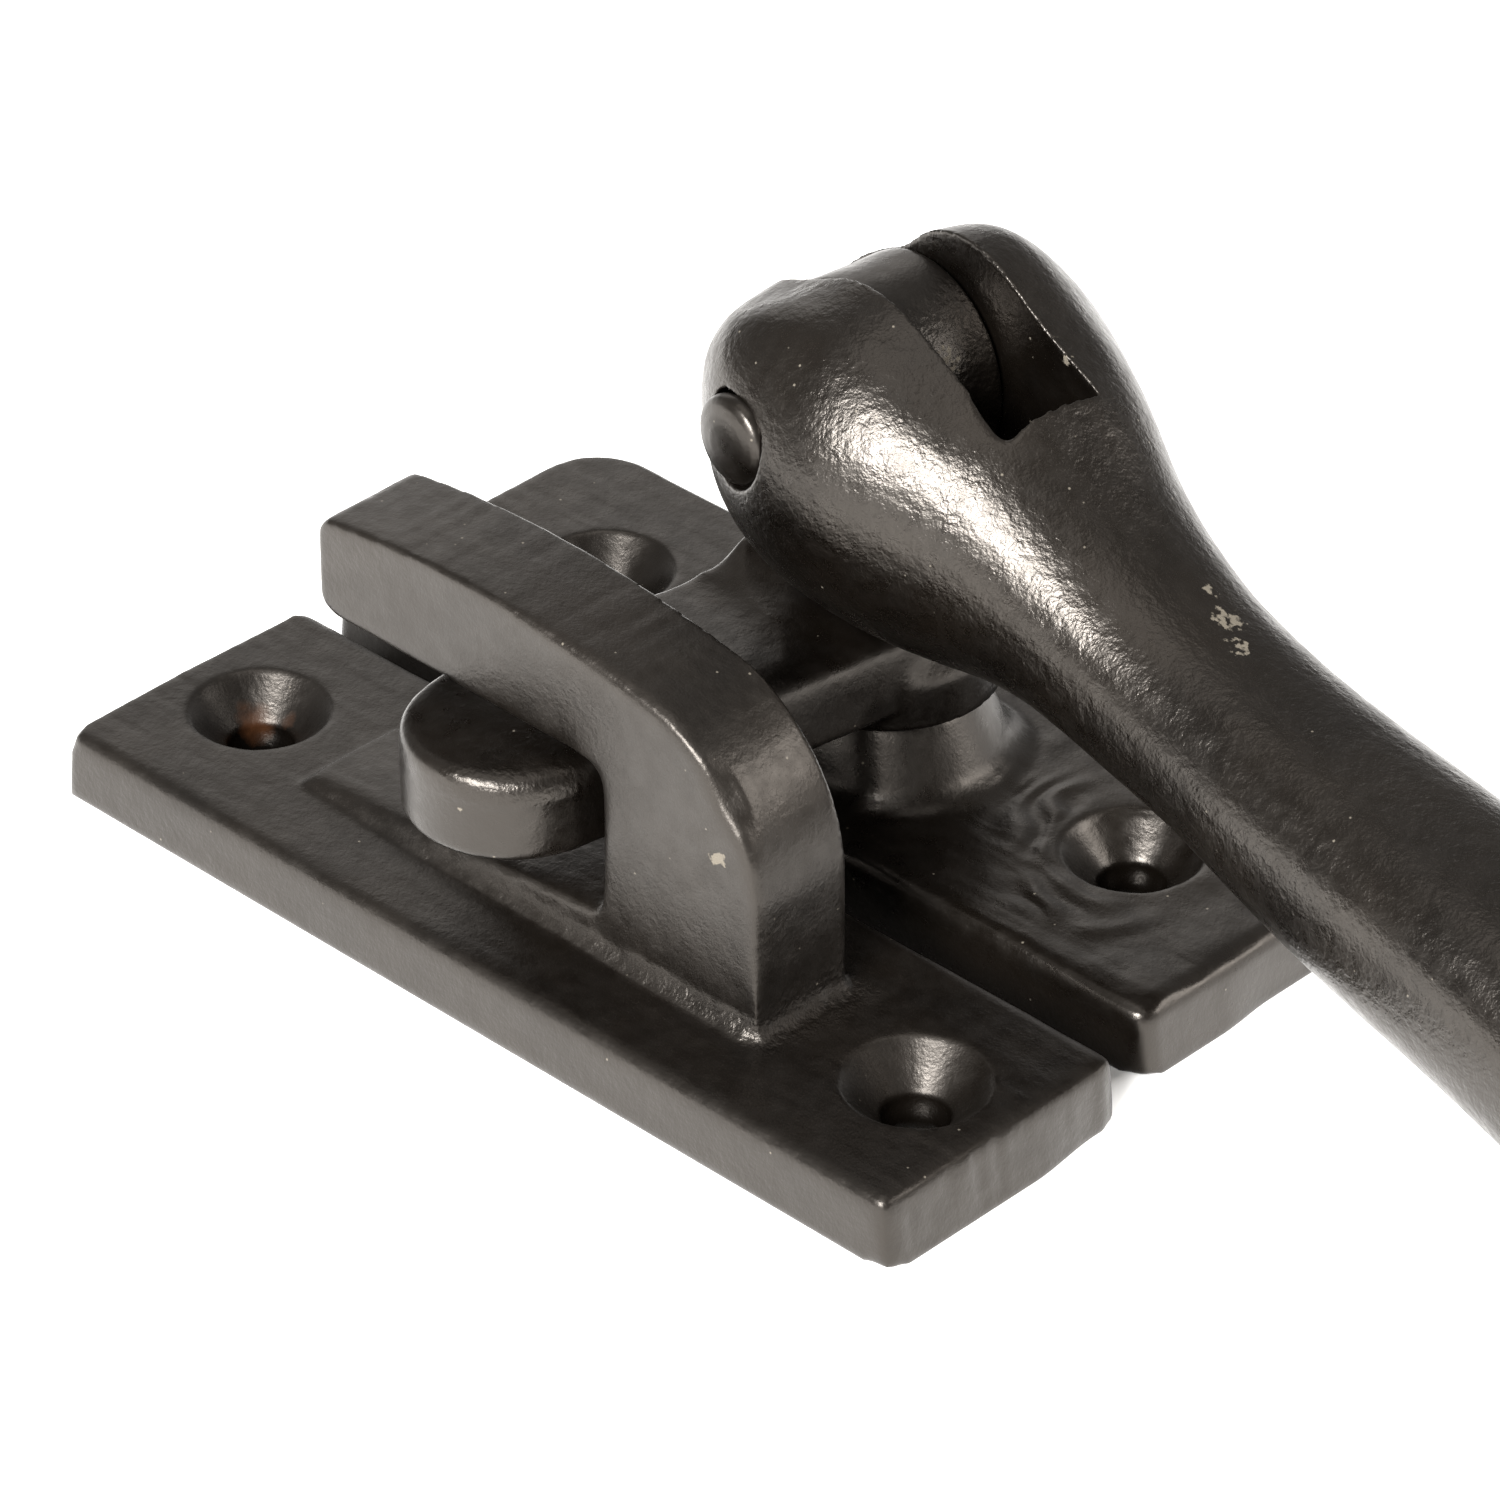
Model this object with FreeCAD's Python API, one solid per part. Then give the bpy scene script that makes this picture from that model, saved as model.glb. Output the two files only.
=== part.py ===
# Casement window fastener with its hook plate, in cast iron.
#
# A forked lever handle is riveted across the knuckle of a swivelling nose. The nose turns in
# the boss of a screw plate, and its tongue slides up a ramp, under the arm of a hook that
# stands on a second screw plate.
#
# Frame: millimetres. The origin is the centre of the mounting plate's two screw holes, on the
# plane that both plates are screwed to. +X runs along the plates towards the handle, +Y runs
# from the hook plate to the mounting plate, and +Z points away from the mounting surface.
import FreeCAD, Part
import math
import os

Vector = FreeCAD.Vector
X_AXIS = Vector(1, 0, 0)
Y_AXIS = Vector(0, 1, 0)
Z_AXIS = Vector(0, 0, 1)

# Both screw plates
PLATE_THICKNESS = 4.05
PLATE_DRAFT = 0.25              # how far the back stands out past the front, all round
SCREW_HOLE_R = 1.8
COUNTERSINK_R = 3.95
FAR = 60.0                      # reach of a cutting tool that must pass right through

# Mounting plate
MOUNT_LENGTH = 59.6
MOUNT_Y_LOW = -10.8
MOUNT_Y_HIGH = 9.5
MOUNT_SCREW_SPACING = 39.2
MOUNT_FAR_CORNER_R = 4.0
MOUNT_NEAR_CORNER_R = 0.8
MOUNT_EDGE_R = 0.7

# Boss on the mounting plate, in which the nose turns
PIVOT = Vector(3.0, -1.5, 0)
BOSS_R = 6.35
BOSS_TOP = 8.49
BOSS_FOOT_R = 1.1
BOSS_EDGE_R = 0.7
SPIGOT_R = 3.95
SPIGOT_CLEARANCE = 0.05
RECESS_R = 6.0
RECESS_DEPTH = 2.6

# Nose piece
TAIL_R = 2.5
PEENED_FLARE = 0.7              # how far the tail's end is spread over the washer
WASHER_SEAT = 1.8               # step at the end of the spigot, where the washer is held
WASHER_THICKNESS = 0.8
WASHER_INSET = 0.4              # gap between either washer and the recess's wall
SPRING_THICKNESS = 0.25
SPRING_INSET = 0.25             # gap between the spring washer and the spigot
SPRING_GAP = 0.02               # gap over and under the spring washer
SKIRT_BOTTOM = 8.59
SKIRT_TOP = 12.29
SKIRT_EDGE_R = 0.6
NECK_R = 5.6
NECK_TOP = 18.29                # before the ears' room is cut from it
TONGUE_ANGLE = -10.0            # degrees that the tongue points away from -Y, about +Z
TONGUE_REACH = 23.84
TONGUE_END_R = 5.9
TONGUE_ROOT_HALF_WIDTH = 5.5
TONGUE_BOTTOM = 9.53
TONGUE_TOP = 14.63
TONGUE_EDGE_R = 0.6
RISE_START = (4.4, 0.0)         # where the tongue's top starts to rise to the neck, as distance
RISE_MIDDLE = (1.2, 1.0)        # out from the neck and height over the tongue's top
RISE_END_INSIDE = 0.6           # how far inside the neck's wall the rise ends
KNUCKLE_R = 6.05
KNUCKLE_HALF_WIDTH = 2.8
KNUCKLE_EDGE_R = 0.4
KNUCKLE_TAB_INSET = 1.0         # of the flat under the knuckle's disc, on each side
OVERLAP = 0.5                   # how far two shapes run into each other before they are joined

# Cross rivet
RIVET_HEIGHT = 26.79
RIVET_R = 1.9
RIVET_CLEARANCE = 0.05
RIVET_SEAT = 10.2               # distance of each head's seat from the handle's middle plane
RIVET_HEAD_R = 2.45
RIVET_HEAD_HEIGHT = 0.75
RIVET_SEAT_R = 2.6

# Handle. Stations give, from the rivet outwards: distance along the handle, half width, and the
# heights of the top and of the underside over the rivet. Both ends are half ellipsoids.
HANDLE_ANGLE = -6.5             # degrees that the handle points away from +X, about +Z
HEAD_LENGTH = -12.4             # of the half ellipsoid that closes the head, back past the rivet
TIP_LENGTH = 8.0
STATIONS = [
    (3.4, 11.1, 8.2, -12.1),
    (8.0, 10.0, 6.5, -12.1),
    (12.0, 8.2, 4.3, -11.8),
    (16.0, 6.9, 1.5, -11.5),
    (21.0, 6.1, -1.6, -12.2),
    (28.0, 5.75, -3.9, -13.6),
    (36.0, 6.1, -5.3, -15.6),
    (46.0, 6.35, -6.6, -17.4),
    (56.0, 6.6, -8.4, -19.5),
    (62.0, 6.74, -9.08, -20.3),
    (68.0, 6.9, -9.5, -20.8),
    (80.0, 7.3, -9.7, -21.0),
    (91.0, 7.4, -9.6, -20.7),
    (98.0, 7.3, -9.5, -20.4),
]
FLATTENING = 0.7                # how far the section leaves the ellipse for a rounded box
FLATTENING_RUN = 45.0           # length over which it does so
END_ANGLES = (8, 20, 35, 52, 70)    # degrees round each end's quarter ellipse, one per section
CROWN_FALL = 1.15               # over 1, the ends' upper halves fall away faster than an ellipse
SECTION_POINTS = 28
CROWN_LEAN = 0.06               # rise of the head's top per unit across, towards the far ear
CROWN_LEAN_END = 20.0           # distance along the handle at which the lean has gone
SLOT_HALF_WIDTH = 3.0
SLOT_END = 12.7

# Room for the fork's ears over the nose, as they swing about the rivet and at rest
EAR_SWEEP_R = 11.75
EAR_REST_POINTS = [(0.0, 15.04), (5.5, 14.34), (16.0, 14.34)]

# Hook plate: its centre, and the hook's outline about that centre (along X, height)
HOOK_PLATE_CENTRE = Vector(1.2, -22.9, 0)
HOOK_PLATE_LENGTH = 60.0
HOOK_PLATE_WIDTH = 17.2
HOOK_SCREW_SPACING = 48.4
HOOK_PLATE_CORNER_R = 0.4
HOOK_PLATE_EDGE_R = 0.3
HOOK_Y_LOW = -3.13
HOOK_WIDTH = 6.6
LEG_OUTSIDE = 16.1
LEG_INSIDE = 4.9
SHOULDER_START = 11.49
SHOULDER_MIDDLE = (14.2, 16.99)
CROWN_START = (9.3, 20.69)
CROWN_MIDDLE = (-2.6, 22.29)
ARM_END = -15.7
ARM_TOP = 21.59
ARM_UNDERSIDE_END = 15.79
ARM_UNDERSIDE_ROOT = 15.39
ARM_CORNER_R = 1.2
ARM_ROOT_R = 1.3
LEG_FOOT_R = 0.9
RAMP_START = -17.0
RAMP_HEIGHT = 2.5


def moved(shape, vector):
    """A copy of the shape, moved by the vector."""
    copy = shape.copy()
    copy.translate(vector)
    return copy


def turned_to_pivot(shape, degrees):
    """Turn a shape made about its own Z axis, and set it on the nose's pivot."""
    copy = shape.copy()
    copy.rotate(Vector(0, 0, 0), Z_AXIS, degrees)
    copy.translate(PIVOT)
    return copy


def rounded_rectangle(x_low, x_high, y_low, y_high, near_r, far_r):
    """Outline with rounded corners: near_r at the low Y side, far_r at the high Y side."""
    bend = math.sqrt(0.5)
    corners = [
        (x_low, y_low, 1, 1, near_r),
        (x_high, y_low, -1, 1, near_r),
        (x_high, y_high, -1, -1, far_r),
        (x_low, y_high, 1, -1, far_r),
    ]
    arcs = []
    for index, (x, y, toward_x, toward_y, radius) in enumerate(corners):
        centre = Vector(x + toward_x * radius, y + toward_y * radius, 0)
        on_x_side = centre - Vector(toward_x * radius, 0, 0)
        on_y_side = centre - Vector(0, toward_y * radius, 0)
        middle = centre - Vector(toward_x * radius * bend, toward_y * radius * bend, 0)
        ends = (on_x_side, on_y_side) if index % 2 == 0 else (on_y_side, on_x_side)
        arcs.append((ends[0], middle, ends[1]))
    edges = []
    for index, (start, middle, end) in enumerate(arcs):
        edges.append(Part.Arc(start, middle, end).toShape())
        edges.append(Part.LineSegment(end, arcs[(index + 1) % 4][0]).toShape())
    return Part.Wire(edges)


def plate_blank(x_low, x_high, y_low, y_high, near_r, far_r):
    """A plate whose sides slope out towards its back, given its front outline."""
    draft = PLATE_DRAFT
    back = rounded_rectangle(
        x_low - draft, x_high + draft, y_low - draft, y_high + draft, near_r + draft, far_r + draft)
    front = rounded_rectangle(x_low, x_high, y_low, y_high, near_r, far_r)
    return Part.makeLoft([back, moved(front, Z_AXIS * PLATE_THICKNESS)], True, True)


def edges_at_height(shape, height):
    """Edges that lie in the level plane at this height."""
    return [
        edge for edge in shape.Edges
        if abs(edge.BoundBox.ZMin - height) < 1e-4 and abs(edge.BoundBox.ZMax - height) < 1e-4
    ]


def countersunk_hole(x, y):
    """Cutter for one screw hole, countersunk at 90 degrees from the plate's front face."""
    depth = COUNTERSINK_R - SCREW_HOLE_R
    hole = Part.makeCylinder(SCREW_HOLE_R, PLATE_THICKNESS + 2, Vector(x, y, -1))
    cone = Part.makeCone(
        SCREW_HOLE_R, COUNTERSINK_R + 1, depth + 1, Vector(x, y, PLATE_THICKNESS - depth))
    return hole.fuse(cone)


def make_mounting_plate():
    half = MOUNT_LENGTH / 2
    plate = plate_blank(
        -half, half, MOUNT_Y_LOW, MOUNT_Y_HIGH, MOUNT_NEAR_CORNER_R, MOUNT_FAR_CORNER_R)
    plate = plate.makeFillet(MOUNT_EDGE_R, edges_at_height(plate, PLATE_THICKNESS))
    boss = Part.makeCylinder(BOSS_R, BOSS_TOP, PIVOT)
    plate = plate.fuse(boss).removeSplitter()
    foot = [
        edge for edge in edges_at_height(plate, PLATE_THICKNESS)
        if abs(edge.BoundBox.XLength - 2 * BOSS_R) < 1e-3
    ]
    plate = plate.makeFillet(BOSS_FOOT_R, foot)
    plate = plate.makeFillet(BOSS_EDGE_R, edges_at_height(plate, BOSS_TOP))
    bore = Part.makeCylinder(SPIGOT_R + SPIGOT_CLEARANCE, BOSS_TOP + 2, PIVOT - Z_AXIS)
    recess = Part.makeCylinder(RECESS_R, RECESS_DEPTH + 1, PIVOT - Z_AXIS)
    plate = plate.cut(bore.fuse(recess))
    for side in (-1, 1):
        plate = plate.cut(countersunk_hole(side * MOUNT_SCREW_SPACING / 2, 0))
    return plate


def make_hook():
    """The hook, made about the hook plate's centre: leg, shoulder, arm and rounded arm end."""
    def point(x, z):
        return Vector(x, HOOK_Y_LOW, z)

    tip_x = ARM_END + ARM_CORNER_R
    bend = ARM_CORNER_R * math.sqrt(0.5)
    top_corner = point(tip_x, ARM_TOP - ARM_CORNER_R)
    low_corner = point(tip_x, ARM_UNDERSIDE_END + ARM_CORNER_R)
    root = point(LEG_INSIDE - ARM_ROOT_R, ARM_UNDERSIDE_ROOT - ARM_ROOT_R)
    root_bend = ARM_ROOT_R * math.sqrt(0.5)
    foot_outside = point(LEG_OUTSIDE, PLATE_THICKNESS / 2)
    foot_inside = point(LEG_INSIDE, PLATE_THICKNESS / 2)
    shoulder = point(LEG_OUTSIDE, SHOULDER_START)
    crown = point(*CROWN_START)
    arm_top = top_corner + Vector(0, 0, ARM_CORNER_R)
    end_high = top_corner - Vector(ARM_CORNER_R, 0, 0)
    end_low = low_corner - Vector(ARM_CORNER_R, 0, 0)
    arm_low = low_corner - Vector(0, 0, ARM_CORNER_R)
    root_high = root + Vector(0, 0, ARM_ROOT_R)
    root_side = root + Vector(ARM_ROOT_R, 0, 0)
    edges = [
        Part.LineSegment(foot_outside, shoulder),
        Part.Arc(shoulder, point(*SHOULDER_MIDDLE), crown),
        Part.Arc(crown, point(*CROWN_MIDDLE), arm_top),
        Part.Arc(arm_top, top_corner + Vector(-bend, 0, bend), end_high),
        Part.LineSegment(end_high, end_low),
        Part.Arc(end_low, low_corner + Vector(-bend, 0, -bend), arm_low),
        Part.LineSegment(arm_low, root_high),
        Part.Arc(root_high, root + Vector(root_bend, 0, root_bend), root_side),
        Part.LineSegment(root_side, foot_inside),
        Part.LineSegment(foot_inside, foot_outside),
    ]
    profile = Part.Face(Part.Wire([edge.toShape() for edge in edges]))
    return profile.extrude(Y_AXIS * HOOK_WIDTH)


def make_ramp():
    """Ramp that lifts the tongue, from flush with the plate to its full height at the leg."""
    top = PLATE_THICKNESS + RAMP_HEIGHT
    corners = [
        Vector(RAMP_START, HOOK_Y_LOW, PLATE_THICKNESS),
        Vector(LEG_INSIDE + 1, HOOK_Y_LOW, top),
        Vector(LEG_INSIDE + 1, HOOK_Y_LOW, PLATE_THICKNESS / 2),
        Vector(RAMP_START, HOOK_Y_LOW, PLATE_THICKNESS / 2),
    ]
    return Part.Face(Part.makePolygon(corners + corners[:1])).extrude(Y_AXIS * HOOK_WIDTH)


def make_hook_plate():
    half_length = HOOK_PLATE_LENGTH / 2
    half_width = HOOK_PLATE_WIDTH / 2
    plate = plate_blank(
        -half_length, half_length, -half_width, half_width,
        HOOK_PLATE_CORNER_R, HOOK_PLATE_CORNER_R)
    plate = plate.makeFillet(HOOK_PLATE_EDGE_R, edges_at_height(plate, PLATE_THICKNESS))
    plate = plate.fuse([make_hook(), make_ramp()]).removeSplitter()
    foot = [
        edge for edge in edges_at_height(plate, PLATE_THICKNESS)
        if abs(edge.BoundBox.XMin - LEG_OUTSIDE) < 1e-3 and edge.BoundBox.XLength < 1e-3
    ]
    plate = plate.makeFillet(LEG_FOOT_R, foot)
    for side in (-1, 1):
        plate = plate.cut(countersunk_hole(side * HOOK_SCREW_SPACING / 2, 0))
    return moved(plate, HOOK_PLATE_CENTRE)


def make_tongue():
    """The tongue, made along -Y from the pivot: a round-ended bar that rises to the neck."""
    root = TONGUE_ROOT_HALF_WIDTH
    end = TONGUE_END_R
    plan = Part.Wire([
        Part.LineSegment(Vector(root, 0, 0), Vector(-root, 0, 0)).toShape(),
        Part.LineSegment(Vector(-root, 0, 0), Vector(-end, -TONGUE_REACH, 0)).toShape(),
        Part.Arc(
            Vector(-end, -TONGUE_REACH, 0), Vector(0, -TONGUE_REACH - end, 0),
            Vector(end, -TONGUE_REACH, 0)).toShape(),
        Part.LineSegment(Vector(end, -TONGUE_REACH, 0), Vector(root, 0, 0)).toShape(),
    ])
    bar = Part.Face(plan).extrude(Z_AXIS * FAR)
    beyond = -TONGUE_REACH - 2 * end
    rise_start = Vector(0, -NECK_R - RISE_START[0], TONGUE_TOP + RISE_START[1])
    rise_middle = Vector(0, -NECK_R - RISE_MIDDLE[0], TONGUE_TOP + RISE_MIDDLE[1])
    rise_end = Vector(0, -NECK_R + RISE_END_INSIDE, NECK_TOP)
    side = Part.Wire([
        Part.makePolygon([
            Vector(0, 0, NECK_TOP), Vector(0, 0, TONGUE_BOTTOM),
            Vector(0, beyond, TONGUE_BOTTOM), Vector(0, beyond, TONGUE_TOP), rise_start]),
        Part.Arc(rise_start, rise_middle, rise_end).toShape(),
        Part.LineSegment(rise_end, Vector(0, 0, NECK_TOP)).toShape(),
    ])
    profile = Part.Face(side).extrude(X_AXIS * FAR)
    tongue = bar.common(moved(profile, X_AXIS * -FAR / 2))
    rims = [
        edge for level in (TONGUE_BOTTOM, TONGUE_TOP)
        for edge in edges_at_height(tongue, level)
        if edge.BoundBox.YMax < -1 and edge.BoundBox.YMin < rise_start.y - 1
    ]
    return tongue.makeFillet(TONGUE_EDGE_R, rims)


def make_ear_clearance():
    """Space over the nose that the fork's two ears need, at rest and through their swing."""
    width = FAR / 2
    disc = Part.makeCylinder(
        EAR_SWEEP_R, width, Vector(0, KNUCKLE_HALF_WIDTH, RIVET_HEIGHT), Y_AXIS)
    corners = [Vector(x, KNUCKLE_HALF_WIDTH, z) for x, z in EAR_REST_POINTS]
    last = corners[-1]
    corners.append(Vector(last.x, last.y, RIVET_HEIGHT))
    corners.append(Vector(0, last.y, RIVET_HEIGHT))
    wedge = Part.Face(Part.makePolygon(corners + corners[:1])).extrude(Y_AXIS * width)
    one_side = disc.fuse(wedge)
    other_side = one_side.mirror(Vector(0, 0, 0), Y_AXIS)
    return [one_side, other_side]


def make_nose_piece():
    spigot = Part.makeCylinder(SPIGOT_R, SKIRT_BOTTOM + 1 - WASHER_SEAT, Z_AXIS * WASHER_SEAT)
    tail_bottom = WASHER_SEAT - WASHER_THICKNESS
    tail = Part.makeCylinder(TAIL_R, WASHER_THICKNESS + OVERLAP, Z_AXIS * tail_bottom)
    peened_end = Part.makeCone(
        TAIL_R, TAIL_R + PEENED_FLARE, PEENED_FLARE, Z_AXIS * (tail_bottom - PEENED_FLARE))
    skirt = Part.makeCylinder(BOSS_R, SKIRT_TOP - SKIRT_BOTTOM, Z_AXIS * SKIRT_BOTTOM)
    skirt = skirt.makeFillet(SKIRT_EDGE_R, edges_at_height(skirt, SKIRT_TOP))
    neck = Part.makeCylinder(NECK_R, NECK_TOP - SKIRT_BOTTOM - 1, Z_AXIS * (SKIRT_BOTTOM + 1))
    tongue = make_tongue()
    tongue.rotate(Vector(0, 0, 0), Z_AXIS, TONGUE_ANGLE - HANDLE_ANGLE)
    body = skirt.fuse([spigot, tail, peened_end, neck, tongue])
    body = body.cut(make_ear_clearance())

    thickness = 2 * KNUCKLE_HALF_WIDTH
    side = Vector(0, -KNUCKLE_HALF_WIDTH, 0)
    disc = Part.makeCylinder(KNUCKLE_R, thickness, side + Z_AXIS * RIVET_HEIGHT, Y_AXIS)
    rims = [edge for edge in disc.Edges if edge.BoundBox.YLength < 1e-4]
    disc = disc.makeFillet(KNUCKLE_EDGE_R, rims)
    tab_half = KNUCKLE_R - KNUCKLE_TAB_INSET
    tab = Part.makeBox(
        2 * tab_half, thickness, RIVET_HEIGHT - SKIRT_TOP,
        side + Vector(-tab_half, 0, SKIRT_TOP - OVERLAP))
    body = body.fuse([disc, tab]).removeSplitter()
    bore = Part.makeCylinder(
        RIVET_R + RIVET_CLEARANCE, FAR, Vector(0, -FAR / 2, RIVET_HEIGHT), Y_AXIS)
    return turned_to_pivot(body.cut(bore), HANDLE_ANGLE)


def handle_section(along, half_width, top, bottom):
    """Closed section across the handle: an ellipse near the head, flatter further out."""
    progress = (along - STATIONS[0][0]) / FLATTENING_RUN
    power = 2 / (2 + FLATTENING * max(0.0, min(1.0, progress)))
    middle = RIVET_HEIGHT + (top + bottom) / 2
    half_height = (top - bottom) / 2
    lean = CROWN_LEAN * max(0.0, min(1.0, 1 - along / CROWN_LEAN_END))
    points = []
    for index in range(SECTION_POINTS):
        angle = 2 * math.pi * index / SECTION_POINTS
        across = math.copysign(abs(math.cos(angle)) ** power, math.cos(angle))
        upward = math.copysign(abs(math.sin(angle)) ** power, math.sin(angle))
        height = half_height * upward + lean * half_width * across * max(0.0, upward)
        points.append(Vector(along, half_width * across, middle + height))
    curve = Part.BSplineCurve()
    curve.interpolate(points, True)
    return Part.Wire(curve.toShape())


def closing_stations(station, length):
    """Stations that round off an end as a half ellipsoid, from its far end to the station."""
    along, half_width, top, bottom = station
    middle = (top + bottom) / 2
    half_height = (top - bottom) / 2
    stations = []
    for degrees in END_ANGLES:
        part = math.sin(math.radians(degrees))
        reach = length * math.cos(math.radians(degrees))
        stations.append((
            along + reach, half_width * part,
            middle + half_height * part ** CROWN_FALL, middle - half_height * part))
    return stations


def make_handle():
    stations = closing_stations(STATIONS[0], HEAD_LENGTH) + STATIONS
    stations += reversed(closing_stations(STATIONS[-1], TIP_LENGTH))
    handle = Part.makeLoft([handle_section(*station) for station in stations], True)
    slot_length = FAR / 2 + SLOT_END
    slot = Part.makeBox(
        slot_length, 2 * SLOT_HALF_WIDTH, FAR, Vector(-FAR / 2, -SLOT_HALF_WIDTH, 0))
    hole = Part.makeCylinder(RIVET_R, FAR, Vector(0, -FAR / 2, RIVET_HEIGHT), Y_AXIS)
    handle = handle.cut([slot, hole])
    for side in (-1, 1):
        seat = Part.makeCylinder(
            RIVET_SEAT_R, 3, Vector(0, side * RIVET_SEAT, RIVET_HEIGHT), Y_AXIS * side)
        handle = handle.cut(seat)
    return turned_to_pivot(handle, HANDLE_ANGLE)


def rivet_head(side):
    """One domed head, on its seat."""
    ball_r = (RIVET_HEAD_R ** 2 + RIVET_HEAD_HEIGHT ** 2) / (2 * RIVET_HEAD_HEIGHT)
    centre = Vector(0, side * (RIVET_SEAT + RIVET_HEAD_HEIGHT - ball_r), RIVET_HEIGHT)
    ball = Part.makeSphere(ball_r, centre)
    cap = Part.makeCylinder(
        RIVET_SEAT_R, 2, Vector(0, side * RIVET_SEAT, RIVET_HEIGHT), Y_AXIS * side)
    return ball.common(cap)


def make_fork_rivet():
    shank = Part.makeCylinder(
        RIVET_R, 2 * RIVET_SEAT, Vector(0, -RIVET_SEAT, RIVET_HEIGHT), Y_AXIS)
    rivet = shank.fuse([rivet_head(-1), rivet_head(1)])
    return turned_to_pivot(rivet, HANDLE_ANGLE)


def make_spring_washer():
    """Dished washer round the spigot, between the recess's floor and the retaining washer."""
    thickness = SPRING_THICKNESS
    inner = SPIGOT_R + SPRING_INSET
    outer = RECESS_R - WASHER_INSET
    low = WASHER_SEAT + SPRING_GAP
    high = RECESS_DEPTH - thickness - SPRING_GAP
    corners = [
        Vector(inner, 0, high), Vector(outer, 0, low),
        Vector(outer, 0, low + thickness), Vector(inner, 0, high + thickness)]
    profile = Part.Face(Part.makePolygon(corners + corners[:1]))
    return moved(profile.revolve(Vector(0, 0, 0), Z_AXIS, 360), PIVOT)


def make_retaining_washer():
    bottom = PIVOT + Z_AXIS * (WASHER_SEAT - WASHER_THICKNESS)
    disc = Part.makeCylinder(RECESS_R - WASHER_INSET, WASHER_THICKNESS, bottom)
    return disc.cut(Part.makeCylinder(TAIL_R, WASHER_THICKNESS, bottom))


PIECES = {
    "mounting_plate": make_mounting_plate,
    "hook_plate": make_hook_plate,
    "nose_piece": make_nose_piece,
    "handle": make_handle,
    "fork_rivet": make_fork_rivet,
    "spring_washer": make_spring_washer,
    "retaining_washer": make_retaining_washer,
}

os.makedirs("parts", exist_ok=True)
for name, make in PIECES.items():
    shape = make()
    if not shape.isValid() or len(shape.Solids) != 1:
        raise RuntimeError("%s is not one valid solid" % name)
    solid = shape.Solids[0]
    solid.exportStep("parts/%s.step" % name)
    print(name, "volume", round(solid.Volume, 1), "mm3")
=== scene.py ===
# Looks for a black cast-iron casement window fastener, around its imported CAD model.
#
# Each casting is copied from its CAD node, remeshed finely, softened at its edges and given the
# uneven skin of painted sand-cast iron. The CAD nodes they stand for stay hidden, and the two
# washers in the back of the mounting plate keep their own meshes.
#
# Blender works in metres, as the CAD's frame does. Lengths and places in this script are in
# millimetres, and MM turns them into metres.
import math

import bmesh
import bpy
import numpy as np
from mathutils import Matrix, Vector


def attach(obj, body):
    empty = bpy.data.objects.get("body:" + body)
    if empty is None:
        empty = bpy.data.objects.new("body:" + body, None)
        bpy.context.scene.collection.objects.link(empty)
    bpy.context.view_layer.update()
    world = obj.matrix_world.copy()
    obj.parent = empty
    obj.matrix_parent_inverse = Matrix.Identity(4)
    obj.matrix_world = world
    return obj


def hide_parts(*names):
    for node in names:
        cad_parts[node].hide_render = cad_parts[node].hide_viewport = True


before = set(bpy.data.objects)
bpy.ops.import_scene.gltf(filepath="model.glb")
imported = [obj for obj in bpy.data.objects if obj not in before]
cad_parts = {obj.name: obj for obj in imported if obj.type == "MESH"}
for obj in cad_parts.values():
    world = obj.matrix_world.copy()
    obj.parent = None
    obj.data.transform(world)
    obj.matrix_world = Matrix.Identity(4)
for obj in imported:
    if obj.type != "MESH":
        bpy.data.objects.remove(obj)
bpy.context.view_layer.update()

MM = 0.001


# ---------------------------------------------------------------- noise, the same on every run

LATTICE = 32                    # random values along each side of the noise's repeating block


def lattice_noise(points, size, seed):
    """Smooth noise from -1 to 1 at each point (millimetres), with bumps about size apart."""
    values = np.random.RandomState(seed).rand(LATTICE, LATTICE, LATTICE) * 2 - 1
    spot = points / size + 7.3 * (seed % 13)
    base = np.floor(spot).astype(int)
    part = spot - base
    part = part * part * (3 - 2 * part)
    total = np.zeros(len(points))
    for corner in range(8):
        step = np.array([corner & 1, corner >> 1 & 1, corner >> 2 & 1])
        share = np.prod(np.where(step == 1, part, 1 - part), axis=1)
        at = (base + step) % LATTICE
        total += share * values[at[:, 0], at[:, 1], at[:, 2]]
    return total


def layered_noise(points, size, seed, layers=3):
    """Noise with finer layers on top, each half as strong as the last."""
    total = np.zeros(len(points))
    for layer in range(layers):
        total += lattice_noise(points, size / 2 ** layer, seed + layer) / 2 ** layer
    return total


# ---------------------------------------------------------------- meshes

def positions(mesh):
    """A mesh's points in millimetres."""
    flat = np.zeros(len(mesh.vertices) * 3)
    mesh.vertices.foreach_get("co", flat)
    return flat.reshape(-1, 3) / MM


def normals(mesh):
    """The outward direction at each of a mesh's points."""
    flat = np.zeros(len(mesh.vertices) * 3)
    mesh.vertices.foreach_get("normal", flat)
    return flat.reshape(-1, 3)


def move_to(mesh, points):
    """Put a mesh's points at these places, in millimetres."""
    mesh.vertices.foreach_set("co", (points * MM).ravel())
    mesh.update()


def applied(piece):
    """Bake the piece's modifiers into its mesh."""
    graph = bpy.context.evaluated_depsgraph_get()
    mesh = bpy.data.meshes.new_from_object(piece.evaluated_get(graph))
    piece.modifiers.clear()
    piece.data = mesh


def joined(mesh, extras):
    """A copy of the mesh with more closed solids (points in millimetres, faces) added."""
    copy = bmesh.new()
    copy.from_mesh(mesh)
    for points, faces in extras:
        added = [copy.verts.new(Vector(point) * MM) for point in points]
        for face in faces:
            copy.faces.new([added[index] for index in face])
    result = bpy.data.meshes.new(mesh.name + "_joined")
    copy.to_mesh(result)
    copy.free()
    return result


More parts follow.
